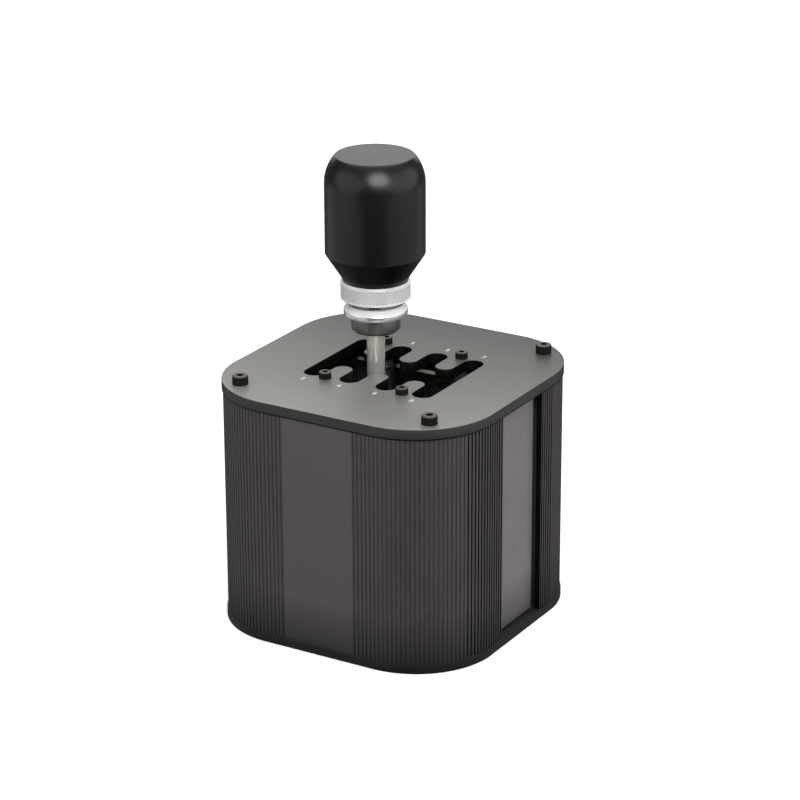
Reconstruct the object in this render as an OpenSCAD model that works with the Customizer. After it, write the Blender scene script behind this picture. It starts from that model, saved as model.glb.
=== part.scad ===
// H-pattern gear shifter for a racing simulator.
// A square extruded case with a slotted gate plate on top. Inside, a carriage slides sideways on two guide
// rods to choose a column, and the lever tilts fore and aft on the carriage's pin to choose a gear.
// Origin: centre of the base's underside. +Z is up, -Y faces the driver and +X is the driver's right.

/* [Case] */
// Width and depth of the base and the gate plate
case_w = 130; // [126:1:150]
// Corner radius of the plates
corner_r = 37.5; // [34:0.5:40]
// Thickness of the base plate
base_t = 4; // [3.5:0.5:6]
// Height of the shells between the plates
shell_h = 103.5; // [98:0.5:125]
// Thickness of the gate plate
plate_t = 5; // [4:0.5:7]
// How far the shells stand in from the plates' edge
shell_inset = 0.5; // [0.2:0.1:1]
// Wall of the shells
shell_wall = 2.5; // [2:0.1:3]
// Width of the smooth flat on the front and the rear
flat_w = 34.6; // [28:0.2:38]
// Wanted pitch of the flutes
flute_pitch = 2; // [1.6:0.1:3]
// Width of a flute at its mouth
flute_w = 0.9; // [0.6:0.1:1.2]
// Depth of a flute
flute_depth = 0.5; // [0.2:0.1:0.8]

/* [Side panels] */
// Width of the window between the shells
window_w = 34.8; // [30:0.2:38]
// Depth of the panel's face below the shells' faces
panel_recess = 3; // [2.7:0.1:4]
// Thickness of the panel's face
panel_t = 2; // [1.5:0.1:2.5]
// Shadow gap beside the panel's face
panel_gap = 2.4; // [1:0.1:4]
// Shadow gap above and below the panel's face
panel_end_gap = 1.3; // [0.5:0.1:3]
// Depth of the shadow gap behind the panel's face
panel_groove = 3; // [2.6:0.1:4]
// Thickness of the panel's flanges
flange_t = 1.5; // [1:0.1:2]
// Reach of a flange beyond the panel's face
flange_w = 8.8; // [7:0.1:10]
// Wall of the guides that hold the flanges
guide_t = 1.5; // [1:0.1:2]
// Setback of the guides from the window's edge
guide_setback = 3.1; // [2:0.1:4]

/* [Gate] */
// Distance between neighbouring columns
column_pitch = 18.3; // [17.6:0.1:19.5]
// Width of a gate slot
slot_w = 9.5; // [8.8:0.1:10.5]
// Length of a gate slot
slot_l = 52.6; // [50:0.2:56]
// Width of the neutral lane between the fingers' tips
lane_w = 17.6; // [12:0.2:22]

/* [Screws] */
// Radius of the case screws' thread
case_screw_r = 2; // [1.5:0.5:2.5]
// Radius of the case screws' heads
case_head_r = 3.5; // [3:0.1:4.5]
// Height of the case screws' heads
case_head_h = 4; // [3:0.1:5]
// Length of the case screws below the head
case_screw_l = 16; // [12:1:25]
// Distance from a case screw to the round corner
case_screw_edge = 7.2; // [7:0.1:9]
// Direction of a case screw from its corner's centre, in degrees from the X axis
case_screw_turn = 49; // [42:1:50]
// Radius of the screw ports in the shells' corners
port_r = 5.5; // [5:0.1:6.5]
// Radius of the gate screws' thread
gate_screw_r = 1.5; // [1.25:0.25:2]
// Radius of the gate screws' heads
gate_head_r = 2.75; // [2.5:0.05:3.5]
// Height of the gate screws' heads
gate_head_h = 3; // [2.5:0.1:4]
// Depth of the gate screws in their pillars
gate_screw_depth = 8.2; // [6:0.2:12]
// Distance of the gate screws from the neutral line
gate_screw_y = 25.9; // [25:0.1:27]
// How far the gate screws stand outside the middle of their fingers
gate_screw_shift = 1.1; // [0:0.1:1.5]
// Length of the small screws under the base
base_screw_l = 12; // [8:1:16]
// Spacing of the mounting holes in the base
mount_pitch = 76; // [70:1:80]
// Core radius of the M5 mounting holes
mount_hole_r = 2.1; // [1.6:0.1:3]

/* [Board] */
// Thickness of the board
board_t = 1.6; // [1:0.1:2.4]
// Height of the spacers above the board
spacer_h = 5.2; // [4:0.2:7]
// Radius of the spacers
spacer_r = 3; // [2.6:0.1:3.5]
// Radius of the pillars
pillar_r = 3.5; // [2.8:0.1:4]
// Width of the board
board_w = 84; // [80:1:88]
// Reach of the board to the front
board_front = 37; // [35:1:40]
// Reach of the board to the rear
board_rear = 57; // [54:0.5:58]
// Width of the board's window
board_window_w = 72; // [70:1:74]
// Length of the board's window
board_window_l = 57.2; // [56:0.2:60]
// Radius of the board's ears at the pillars
ear_r = 3.8; // [3.4:0.1:4.2]
// Least room between the board and the case
board_gap = 0.8; // [0.4:0.1:1]
// Width of a gear sensor
sensor_w = 4; // [3:0.5:5]
// Length of a gear sensor
sensor_l = 3; // [2:0.5:4]
// Height of the parts on the board
chip_h = 1.5; // [1:0.1:2.5]
// Width of the controller
controller_w = 10; // [7:0.5:12]
// Distance of the controller's middle from the board's edge
controller_edge = 14; // [10:0.5:22]
// Width of the USB socket
usb_w = 12; // [11:0.1:13]
// Height of the USB socket
usb_h = 11; // [10:0.1:12]
// Depth of the USB socket
usb_l = 16; // [12:0.5:18]
// Wall of the USB socket
usb_wall = 1.6; // [1:0.1:2]
// Depth of the USB socket's mouth
usb_depth = 9; // [7:0.1:11]
// Setback of the USB socket from the rear face
usb_setback = 0.5; // [0.1:0.1:1]
// Width of the tongue in the USB socket
usb_tongue_w = 5.6; // [4:0.1:6.5]
// Height of the tongue in the USB socket
usb_tongue_h = 3.2; // [2:0.1:4]

/* [Carriage] */
// Height of the lever's pivot
pivot_z = 34; // [33.5:0.5:38]
// Radius of the pivot pin
pin_r = 4; // [3:0.1:4.5]
// Radius of the guide rods
guide_r = 3; // [2.5:0.1:3.4]
// Distance of the guide rods from the middle
guide_y = 13; // [12.6:0.1:14]
// Height of the pivot above the guide rods
guide_drop = 14; // [13.6:0.1:15]
// Thickness of the carriage's cheeks
cheek_t = 5; // [4:0.1:6]
// Thickness of the carriage's web
web_t = 5; // [4:0.1:6]
// Height of the guide rods above the web's underside
web_drop = 12; // [11:0.1:13]
// Wall round the guide bushes
cheek_margin = 1.5; // [1:0.1:2.5]
// Wall of the flanged bushes
bush_t = 1.5; // [1:0.1:2]
// Thickness and reach of the bushes' flanges
bush_flange = 1; // [0.8:0.1:1.5]
// Thickness of the circlips
clip_t = 1; // [0.6:0.1:1.5]
// Reach of the circlips beyond the pin
clip_w = 2.5; // [1.5:0.1:3]
// Length of a closed centring spring
spring_room = 5; // [3.6:0.1:6]
// Radius of the spring wire
wire_r = 0.45; // [0.3:0.05:0.5]
// Room between a centring spring and its rod
spring_fit = 0.95; // [0.6:0.05:1.2]
// Thickness of the end blocks
block_t = 6; // [5:0.5:7]
// Room between the end blocks and the panel guides
block_gap = 4.45; // [3:0.05:6]
// Height of the blocks above the guide rods
block_rise = 10; // [8:0.5:12]
// Wall of the end blocks beyond the guide rods
block_margin = 3; // [2:0.1:4]
// Length of the set screws
set_screw_l = 5; // [3:0.5:6]

/* [Detent] */
// Radius of the hub's detent face
cam_r = 15; // [14.5:0.1:15.2]
// Angle between the detent's grooves
cam_step = 15; // [12:1:16]
// Radius of the grooves
groove_r = 2.4; // [2.2:0.1:2.6]
// Depth of the grooves
groove_depth = 0.8; // [0.5:0.1:1]
// Radius of the detent ball
ball_r = 2; // [1.5:0.1:2.1]
// Room between the ball and the detent face
ball_gap = 0.3; // [0.2:0.05:0.5]
// Radius of the plunger's body
plunger_r = 4; // [3.5:0.1:4.5]
// Height of the plunger's body
plunger_h = 10.9; // [10:0.1:11.5]
// Thickness of the plunger's floor
plunger_floor = 1; // [0.8:0.1:1.5]
// Height of the plunger's rim above the ball's middle
plunger_lip = 0.2; // [0:0.1:0.4]
// Turns of the detent spring
detent_turns = 5; // [4:1:6]

/* [Lever] */
// Radius of the lever rod
rod_r = 4; // [3.5:0.1:4.2]
// Width of the hub along the pin
hub_w = 12.6; // [12.2:0.2:14]
// Radius of the hub round the pin
hub_r = 10; // [8:0.1:11]
// Wall of the hub's bush
hub_bush_t = 2; // [1:0.1:2.5]
// Half width of the boss that takes the rod
boss_half = 7; // [6.5:0.1:8]
// Height of the boss above the pivot
boss_h = 26; // [22:0.5:30]
// Depth of the rod in the boss
rod_depth = 14; // [10:0.5:16]
// Width across flats of the lock nut
nut_w = 13; // [12:0.1:14]
// Height of the lock nut
nut_h = 6.5; // [4:0.1:8]
// Radius of the magnet ring
magnet_r = 5.2; // [5:0.1:5.4]
// Height of the magnet ring
magnet_h = 5; // [3:0.5:6]
// Drop of the magnet ring below the board
magnet_drop = 2.7; // [1:0.1:5]

/* [Knob] */
// Height of the adapter collar's underside above the gate plate
adapter_z = 16.4; // [14:0.1:25]
// Radius of the adapter collar
adapter_r = 10.8; // [9:0.1:12]
// Height of the adapter collar
adapter_h = 7.6; // [4:0.1:9]
// Bevel of the adapter collar's foot
adapter_bevel = 1.05; // [0.3:0.05:1.5]
// Largest radius of the silver collar
collar_r = 14.1; // [13:0.1:15]
// Radius at the top of the collar's cone
collar_top_r = 12.2; // [11.6:0.1:13]
// Height of the collar below the lock ring
collar_h = 7.2; // [5:0.1:8]
// Height of the collar's straight band
collar_band = 2.3; // [1:0.1:3]
// Bevel of the collar's foot
collar_foot = 0.3; // [0.1:0.1:0.8]
// Height of the neck between the collar's cone and the lock ring
neck_gap = 2.4; // [1:0.1:2.8]
// Radius of the collar's threaded neck
neck_r = 11; // [9:0.1:11.5]
// Radius of the lock ring
ring_r = 15.4; // [14.5:0.1:16.5]
// Height of the lock ring
ring_h = 8.4; // [7:0.1:12]
// Bevel of the lock ring's upper edge
ring_bevel = 0.8; // [0.3:0.1:1.2]
// Bevel of the lock ring's lower edge
ring_foot = 0.4; // [0.2:0.1:0.8]
// Radius of the knob
knob_r = 22; // [20:0.1:25]
// Radius of the knob's foot
knob_foot_r = 14.4; // [13:0.1:16]
// Height of the knob's foot
knob_foot_h = 0.8; // [0.3:0.1:2]
// Height of the knob's cone
knob_cone_h = 12.4; // [9:0.1:16]
// Height of the knob's straight part
knob_body_h = 31.3; // [24:0.1:40]
// Height of the knob's shoulder
knob_shoulder_h = 12.5; // [9:0.1:15]
// Radius of the shoulder's curve
knob_shoulder_r = 18.75; // [18:0.25:22]
// Radius of the threaded insert
insert_r = 7; // [6:0.1:8]
// Length of the threaded insert
insert_l = 36; // [25:1:42]
// Room above the rod in the insert
insert_room = 2; // [1:0.5:6]

/* [Clearances] */
// Seat of a fixed piece in its hole
seat_fit = 0.02; // [0.01:0.01:0.05]
// Running fit of a moving piece
run_fit = 0.03; // [0.02:0.01:0.08]
// Room round a screw's thread
thread_fit = 0.05; // [0.02:0.01:0.1]
// Room round a screw in a through hole
through_fit = 0.25; // [0.1:0.05:0.4]
// Room beside the hub and in the panel guides
side_fit = 0.2; // [0.1:0.05:0.3]

/* [Hidden] */
$fn = 96;
CORNERS = ["front_left", "front_right", "rear_left", "rear_right"];

// How far a cut runs past the faces that it opens
over = 1;
// Shares of a screw head's radius or height
head_bevel_share = 0.1;
socket_r_share = 0.5;
socket_depth_share = 0.5;
small_socket_share = 0.6;

black_anodised = [0.19, 0.18, 0.18];
grey_anodised = [0.55, 0.54, 0.53];
panel_grey = [0.44, 0.42, 0.42];
black_steel = [0.08, 0.08, 0.08];
bright_steel = [0.72, 0.70, 0.67];
bright_aluminium = [0.86, 0.86, 0.87];
gunmetal = [0.28, 0.29, 0.29];
knob_black = [0.10, 0.10, 0.10];
board_green = [0.06, 0.25, 0.14];
bronze = [0.62, 0.45, 0.24];

columns = [-1.5, -0.5, 0.5, 1.5];
rest_column = 1;
lever_x = columns[rest_column] * column_pitch;
outer_x = columns[3] * column_pitch;

shell_z = base_t;
plate_z = shell_z + shell_h;
top_z = plate_z + plate_t;

shell_half = case_w / 2 - shell_inset;
shell_r = corner_r - shell_inset;
shell_run = shell_half - shell_r;
inner_half = shell_half - shell_wall;
port_x = case_w / 2 - corner_r + (corner_r - case_screw_edge) * cos(case_screw_turn);
port_y = case_w / 2 - corner_r + (corner_r - case_screw_edge) * sin(case_screw_turn);

fluted_side = shell_run - window_w / 2;
fluted_arc = shell_r * PI / 2;
fluted_l = fluted_side + fluted_arc + shell_run - flat_w / 2;
flute_count = floor(fluted_l / flute_pitch);
flute_step = fluted_l / flute_count;
flute_floor_share = 0.5;

field_half = window_w / 2 - panel_gap;
face_x = shell_half - panel_recess;
flange_x = face_x - panel_groove;
flange_half = field_half + flange_w;
hook_x = flange_x - flange_t - side_fit / 2 - guide_t;
hook_y = window_w / 2 + guide_setback;

finger_r = (column_pitch - slot_w) / 2;
gate_screw_x = column_pitch + gate_screw_shift;

board_z = plate_z - spacer_h - board_t;
sensor_y = board_window_l / 2 + sensor_l;
controller_x = controller_edge - board_w / 2;
controller_y = (board_window_l / 2 + board_rear) / 2;
usb_z = board_z - usb_h;
usb_mouth_y = shell_half - usb_setback;

guide_z = pivot_z - guide_drop;
hub_half = hub_w / 2;
cheek_x = hub_half + side_fit;
carriage_half = cheek_x + cheek_t;
bush_r = guide_r + run_fit + bush_t;
cheek_half = guide_y + bush_r + cheek_margin;
web_z = guide_z - web_drop;
block_end = hook_x - block_gap;
block_x = block_end - block_t;
block_half = guide_y + guide_r + block_margin;
block_screw_y = guide_y / 2;
spring_r = guide_r + spring_fit + wire_r;
spring_turns = floor(spring_room / (2 * wire_r));
end_play = 0.05;
hub_bush_r = pin_r + run_fit + hub_bush_t;

crest_z = pivot_z - cam_r;
ball_z = crest_z - ball_gap - ball_r;
plunger_top = ball_z + plunger_lip;

rod_z = pivot_z + boss_h - rod_depth;
adapter_top = top_z + adapter_z + adapter_h;
ring_z = adapter_top + collar_h;
knob_z = ring_z + ring_h;
insert_top = knob_z + insert_l;
magnet_z = board_z - magnet_drop;

// Signs of the four corners, in the order of their names
function corner_x(i) = i % 2 == 0 ? -1 : 1;
function corner_y(i) = i < 2 ? -1 : 1;

// Repeats a shape at the four corners of a rectangle
module at_corners(x, y) {
    for (i = [0:3])
        translate([corner_x(i) * x, corner_y(i) * y, 0])
            children();
}

// Extrudes a profile drawn in Y and Z along X, about the middle x
module along_x(x, length) {
    translate([x - length / 2, 0, 0])
        rotate([90, 0, 90])
            linear_extrude(length)
                children();
}

module rounded_square(w, r) {
    square([w - 2 * r, w], center = true);
    square([w, w - 2 * r], center = true);
    for (sx = [-1, 1], sy = [-1, 1])
        translate([sx * (w / 2 - r), sy * (w / 2 - r)])
            circle(r);
}

module tube(r_out, r_in, h) {
    linear_extrude(h)
        difference() {
            circle(r_out);
            circle(r_in);
        }
}

// Fasteners

// Socket-head cap screw: z = 0 is under the head
module cap_screw(r, head_r, head_h, length) {
    edge = head_r * head_bevel_share;
    difference() {
        union() {
            rotate_extrude()
                polygon([
                    [0, 0], [head_r, 0], [head_r, head_h - edge], [head_r - edge, head_h], [0, head_h]
                ]);
            translate([0, 0, -length])
                cylinder(h = length, r = r);
        }
        translate([0, 0, head_h * (1 - socket_depth_share)])
            cylinder(h = head_h, r = head_r * socket_r_share, $fn = 6);
    }
}

function countersunk_r(r) = 2 * r;

// Countersunk screw with its flat head at z = 0, pointing up
module countersunk_screw(r, length) {
    head_r = countersunk_r(r);
    difference() {
        union() {
            cylinder(h = head_r - r, r1 = head_r, r2 = r);
            cylinder(h = length, r = r);
        }
        cylinder(h = r, r = r * small_socket_share, $fn = 6, center = true);
    }
}

module countersunk_hole(r, depth) {
    hole_r = r + thread_fit;
    head_r = countersunk_r(r) + thread_fit;
    cylinder(h = head_r - hole_r, r1 = head_r, r2 = hole_r);
    cylinder(h = depth, r = hole_r);
}

// Case

// Point on the fluted stretch from the window's edge to the flat's edge, at a depth below the surface
function fluted_point(s, depth) =
    let (turn = (s - fluted_side) / shell_r * 180 / PI)
    s < fluted_side ? [shell_half - depth, window_w / 2 + s] :
    s < fluted_side + fluted_arc ?
        [shell_run + (shell_r - depth) * cos(turn), shell_run + (shell_r - depth) * sin(turn)] :
    [shell_run - (s - fluted_side - fluted_arc), shell_half - depth];

fluted_edge = concat(
    [fluted_point(0, 0)],
    [for (i = [0:flute_count - 1])
        let (middle = (i + 0.5) * flute_step, mouth = flute_w / 2, bottom = mouth * flute_floor_share)
        each [
            fluted_point(middle - mouth, 0), fluted_point(middle - bottom, flute_depth),
            fluted_point(middle + bottom, flute_depth), fluted_point(middle + mouth, 0)
        ]],
    [fluted_point(fluted_l, 0)]);
fluted_edge_left = [for (i = [len(fluted_edge) - 1:-1:0]) [-fluted_edge[i].x, fluted_edge[i].y]];

// Hook beside the window that holds a panel's flange
module panel_guide() {
    difference() {
        translate([hook_x, hook_y])
            square([shell_half - shell_wall / 2 - hook_x, flange_half + side_fit + guide_t - hook_y]);
        translate([flange_x - flange_t - side_fit / 2, 0])
            square([flange_t + side_fit, flange_half + side_fit]);
    }
}

// Screw port in a shell's corner, with its web to the wall
module screw_port() {
    circle(port_r);
    rotate(case_screw_turn)
        translate([0, -port_r / 2])
            square([case_screw_edge - shell_inset - shell_wall / 2, port_r]);
}

// Section of one shell, on the +Y side
module shell_section() {
    difference() {
        union() {
            difference() {
                polygon(concat(fluted_edge, fluted_edge_left));
                rounded_square(2 * inner_half, shell_r - shell_wall);
            }
            for (sx = [0, 1])
                mirror([sx, 0])
                    union() {
                        panel_guide();
                        translate([port_x, port_y])
                            screw_port();
                    }
        }
        for (sx = [-1, 1])
            translate([sx * port_x, port_y])
                circle(case_screw_r + thread_fit);
    }
}

module shell_blank() {
    translate([0, 0, shell_z])
        linear_extrude(shell_h)
            shell_section();
}

module front_shell() {
    color(black_anodised)
        rotate([0, 0, 180])
            shell_blank();
}

module rear_shell() {
    port_room = 2 * side_fit;
    color(black_anodised)
        difference() {
            shell_blank();
            translate([-usb_w / 2 - side_fit, inner_half - over, usb_z - side_fit])
                cube([usb_w + port_room, shell_wall + 2 * over, usb_h + port_room]);
        }
}

// Side panel on the +X side: a raised face with two flanges that stand in the shells' guides
module side_panel() {
    color(panel_grey) {
        translate([0, 0, shell_z + panel_end_gap])
            linear_extrude(shell_h - 2 * panel_end_gap) {
                translate([face_x - panel_t, -field_half])
                    square([panel_t, 2 * field_half]);
                for (sy = [-1, 1])
                    translate([flange_x - flange_t, sy * (field_half - panel_t / 2) - panel_t / 2])
                        square([face_x - flange_x + flange_t, panel_t]);
            }
        for (sy = [-1, 1])
            translate([flange_x - flange_t, sy > 0 ? field_half - panel_t : -flange_half, shell_z])
                cube([flange_t, flange_w + panel_t, shell_h]);
    }
}

module left_side_panel() {
    rotate([0, 0, 180])
        side_panel();
}

module right_side_panel() {
    side_panel();
}

module base_plate() {
    color(black_anodised)
        difference() {
            linear_extrude(base_t)
                difference() {
                    rounded_square(case_w, corner_r);
                    at_corners(mount_pitch / 2, mount_pitch / 2)
                        circle(mount_hole_r);
                }
            at_corners(port_x, port_y)
                countersunk_hole(case_screw_r, base_t);
            at_corners(gate_screw_x, gate_screw_y)
                countersunk_hole(gate_screw_r, base_t);
            at_corners(block_x + block_t / 2, block_screw_y)
                countersunk_hole(gate_screw_r, base_t);
        }
}

// Gate: four round-ended slots joined by the neutral lane, with round finger tips
module gate_opening() {
    lane_half = lane_w / 2 + finger_r;
    end_y = (slot_l - slot_w) / 2;
    difference() {
        union() {
            square([2 * outer_x, 2 * lane_half], center = true);
            for (c = columns)
                translate([c * column_pitch, 0]) {
                    square([slot_w, 2 * end_y], center = true);
                    for (sy = [-1, 1])
                        translate([0, sy * end_y])
                            circle(slot_w / 2);
                }
        }
        for (c = [-1:1], sy = [-1, 1])
            translate([c * column_pitch, sy * lane_half])
                circle(finger_r);
    }
}

module top_plate() {
    color(grey_anodised)
        translate([0, 0, plate_z])
            linear_extrude(plate_t)
                difference() {
                    rounded_square(case_w, corner_r);
                    gate_opening();
                    at_corners(port_x, port_y)
                        circle(case_screw_r + through_fit);
                    at_corners(gate_screw_x, gate_screw_y)
                        circle(gate_screw_r + through_fit);
                }
}

module top_corner_screws() {
    color(black_steel)
        translate([0, 0, top_z])
            at_corners(port_x, port_y)
                cap_screw(case_screw_r, case_head_r, case_head_h, case_screw_l);
}

module gate_screws() {
    length = plate_t + spacer_h + board_t + gate_screw_depth;
    color(black_steel)
        translate([0, 0, top_z])
            at_corners(gate_screw_x, gate_screw_y)
                cap_screw(gate_screw_r, gate_head_r, gate_head_h, length);
}

module base_corner_screws() {
    color(black_steel)
        at_corners(port_x, port_y)
            countersunk_screw(case_screw_r, case_screw_l);
}

module pillar_screws() {
    color(black_steel)
        at_corners(gate_screw_x, gate_screw_y)
            countersunk_screw(gate_screw_r, base_screw_l);
}

module block_screws() {
    color(black_steel)
        at_corners(block_x + block_t / 2, block_screw_y)
            countersunk_screw(gate_screw_r, base_screw_l);
}

// Gate frame: pillars, spacers and the board between them

module at_gate_corner(i) {
    translate([corner_x(i) * gate_screw_x, corner_y(i) * gate_screw_y, 0])
        children();
}

module pillar(i) {
    hole_r = gate_screw_r + thread_fit;
    color(bright_aluminium)
        at_gate_corner(i)
            difference() {
                translate([0, 0, base_t])
                    cylinder(h = board_z - base_t, r = pillar_r);
                cylinder(h = base_screw_l + over, r = hole_r);
                translate([0, 0, board_z - gate_screw_depth - over])
                    cylinder(h = gate_screw_depth + 2 * over, r = hole_r);
            }
}

module spacer(i) {
    color(bright_aluminium)
        at_gate_corner(i)
            translate([0, 0, board_z + board_t])
                tube(spacer_r, gate_screw_r + through_fit, spacer_h);
}

module control_board() {
    window_half = board_window_l / 2;
    room_half = inner_half - board_gap;
    color(board_green)
        translate([0, 0, board_z])
            linear_extrude(board_t)
                difference() {
                    union() {
                        difference() {
                            intersection() {
                                translate([-board_w / 2, -board_front])
                                    square([board_w, board_front + board_rear]);
                                rounded_square(2 * room_half, shell_r - shell_half + room_half);
                            }
                            at_corners(port_x, port_y)
                                circle(port_r + board_gap);
                            square([board_window_w, board_window_l], center = true);
                        }
                        for (i = [0:3])
                            at_gate_corner(i) {
                                circle(ear_r);
                                rotate(corner_y(i) > 0 ? 0 : 180)
                                    translate([-ear_r, 0])
                                        square([2 * ear_r, window_half - gate_screw_y + over]);
                            }
                    }
                    at_corners(gate_screw_x, gate_screw_y)
                        circle(gate_screw_r + through_fit);
                }
}

module gear_sensors() {
    color(black_steel)
        for (c = columns, sy = [-1, 1])
            translate([c * column_pitch - sensor_w / 2, sy * sensor_y - sensor_l / 2, board_z - chip_h])
                cube([sensor_w, sensor_l, chip_h]);
}

module controller_chip() {
    color(black_steel)
        translate([controller_x - controller_w / 2, controller_y - controller_w / 2, board_z - chip_h])
            cube([controller_w, controller_w, chip_h]);
}

module usb_socket() {
    tongue_z = usb_z + (usb_h - usb_tongue_h) / 2;
    color(bright_aluminium)
        difference() {
            translate([-usb_w / 2, usb_mouth_y - usb_l, usb_z])
                cube([usb_w, usb_l, usb_h]);
            difference() {
                translate([-usb_w / 2 + usb_wall, usb_mouth_y - usb_depth, usb_z + usb_wall])
                    cube([usb_w - 2 * usb_wall, usb_depth + over, usb_h - 2 * usb_wall]);
                translate([-usb_tongue_w / 2, usb_mouth_y - usb_depth - over, tongue_z])
                    cube([usb_tongue_w, usb_depth, usb_tongue_h]);
            }
        }
}

// Guide rods and their blocks

module end_block(side) {
    color(gunmetal)
        difference() {
            along_x(side * (block_x + block_t / 2), block_t)
                difference() {
                    translate([-block_half, base_t])
                        square([2 * block_half, guide_z + block_rise - base_t]);
                    for (sy = [-1, 1])
                        translate([sy * guide_y, guide_z])
                            circle(guide_r + seat_fit);
                }
            for (sy = [-1, 1])
                translate([side * (block_x + block_t / 2), 0, 0]) {
                    translate([0, sy * block_screw_y, 0])
                        cylinder(h = base_screw_l + over, r = gate_screw_r + thread_fit);
                    translate([0, sy * guide_y, guide_z])
                        cylinder(h = block_rise + over, r = gate_screw_r + thread_fit);
                }
        }
}

module guide_rod(side) {
    color(bright_steel)
        translate([-block_end, side * guide_y, guide_z])
            rotate([0, 90, 0])
                cylinder(h = 2 * block_end, r = guide_r);
}

module rod_set_screws() {
    socket_r = gate_screw_r * socket_r_share;
    color(black_steel)
        at_corners(block_x + block_t / 2, guide_y)
            translate([0, 0, guide_z + guide_r + seat_fit])
                difference() {
                    cylinder(h = set_screw_l, r = gate_screw_r);
                    translate([0, 0, set_screw_l])
                        cylinder(h = gate_screw_r * 2, r = socket_r, $fn = 6, center = true);
                }
}

// Centring springs: one helix of wire from end to end

spring_sides = 6;
spring_rings = 8;

function helix_point(t, length, turns, r) =
    [wire_r + t * (length - 2 * wire_r), r * cos(360 * turns * t), r * sin(360 * turns * t)];

function helix_path(length, turns, r) =
    let (last = turns * spring_rings)
    [for (i = [0:last]) helix_point(i / last, length, turns, r)];

// Rings of points round the wire, square to the coil's own radius and axis
function helix_skin(path) =
    [for (i = [0:len(path) - 1], k = [0:spring_sides - 1])
        let (a = 360 * i / spring_rings, b = 360 * k / spring_sides)
        path[i] + wire_r * [sin(b), cos(b) * cos(a), cos(b) * sin(a)]];

function tube_faces(rings, sides) = concat(
    [for (i = [0:rings - 2], k = [0:sides - 1])
        let (p = i * sides + k, q = i * sides + (k + 1) % sides)
        each [[p, q, q + sides], [p, q + sides, p + sides]]],
    [for (k = [1:sides - 2]) [0, k + 1, k]],
    [for (k = [1:sides - 2]) let (p = (rings - 1) * sides) [p, p + k, p + k + 1]]);

// Least room between turns that are at least half a turn apart
function least_gap(path) =
    min([for (i = [0:len(path) - 1], j = [i + spring_rings / 2:len(path) - 1]) norm(path[i] - path[j])])
    - 2 * wire_r;

module coil(length, turns, r) {
    path = helix_path(length, turns, r);
    echo(least_gap_between_turns = least_gap(path));
    polyhedron(helix_skin(path), tube_faces(len(path), spring_sides));
}

function left_spring_l() = block_x + lever_x - carriage_half - bush_flange - 2 * end_play;
function right_spring_l() = block_x - lever_x - carriage_half - bush_flange - 2 * end_play;

module centring_spring(i) {
    left = corner_x(i) < 0;
    start_x = left ? -block_x + end_play : lever_x + carriage_half + bush_flange + end_play;
    color(bright_steel)
        translate([start_x, corner_y(i) * guide_y, guide_z])
            coil(left ? left_spring_l() : right_spring_l(), spring_turns, spring_r);
}

// Carriage

module cheek_section() {
    difference() {
        union() {
            translate([-cheek_half, web_z])
                square([2 * cheek_half, web_drop + bush_r + cheek_margin]);
            translate([-hub_r, web_z])
                square([2 * hub_r, pivot_z - web_z]);
            translate([0, pivot_z])
                circle(hub_r);
        }
        translate([0, pivot_z])
            circle(pin_r + seat_fit);
        for (sy = [-1, 1])
            translate([sy * guide_y, guide_z])
                circle(bush_r + seat_fit);
    }
}

module carriage() {
    color(grey_anodised)
        difference() {
            union() {
                for (sx = [-1, 1])
                    along_x(lever_x + sx * (cheek_x + cheek_t / 2), cheek_t)
                        cheek_section();
                translate([lever_x - carriage_half, -cheek_half, web_z])
                    cube([2 * carriage_half, 2 * cheek_half, web_t]);
            }
            translate([lever_x, 0, web_z - over])
                cylinder(h = web_t + 2 * over, r = plunger_r + thread_fit);
        }
}

module guide_bush(i) {
    side = corner_x(i);
    color(bronze)
        translate([lever_x, corner_y(i) * guide_y, guide_z])
            rotate([0, side * 90, 0]) {
                translate([0, 0, cheek_x])
                    tube(bush_r, guide_r + run_fit, cheek_t);
                translate([0, 0, carriage_half])
                    tube(bush_r + bush_flange, guide_r + run_fit, bush_flange);
            }
}

module pivot_pin() {
    tip = 1;
    half = carriage_half + clip_t + tip;
    color(bright_steel)
        difference() {
            along_x(lever_x, 2 * half)
                translate([0, pivot_z])
                    circle(pin_r);
            for (sx = [-1, 1])
                along_x(lever_x + sx * (carriage_half + clip_t / 2), clip_t)
                    translate([0, pivot_z])
                        difference() {
                            circle(pin_r + over);
                            circle(pin_r - clip_t / 2);
                        }
        }
}

module pivot_circlips() {
    mouth = pin_r;
    color(black_steel)
        for (sx = [-1, 1])
            along_x(lever_x + sx * (carriage_half + clip_t / 2), clip_t)
                translate([0, pivot_z])
                    difference() {
                        circle(pin_r + clip_w);
                        circle(pin_r - clip_t / 2);
                        translate([-mouth / 2, -2 * pin_r])
                            square([mouth, 2 * pin_r]);
                    }
}

// Detent

module detent_plunger() {
    color(gunmetal)
        translate([lever_x, 0, plunger_top - plunger_h])
            rotate_extrude()
                polygon([
                    [0, 0], [plunger_r, 0], [plunger_r, plunger_h], [ball_r + run_fit, plunger_h],
                    [ball_r + run_fit, plunger_floor], [0, plunger_floor]
                ]);
}

module detent_spring() {
    floor_z = plunger_top - plunger_h + plunger_floor;
    length = ball_z - ball_r - floor_z - 2 * end_play;
    thin_r = ball_r - wire_r - 2 * run_fit;
    color(bright_steel)
        translate([lever_x, 0, floor_z + end_play])
            rotate([0, -90, 0])
                coil(length, detent_turns, thin_r);
}

module detent_ball() {
    color(bright_steel)
        translate([lever_x, 0, ball_z])
            sphere(ball_r);
}

// Lever

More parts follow.
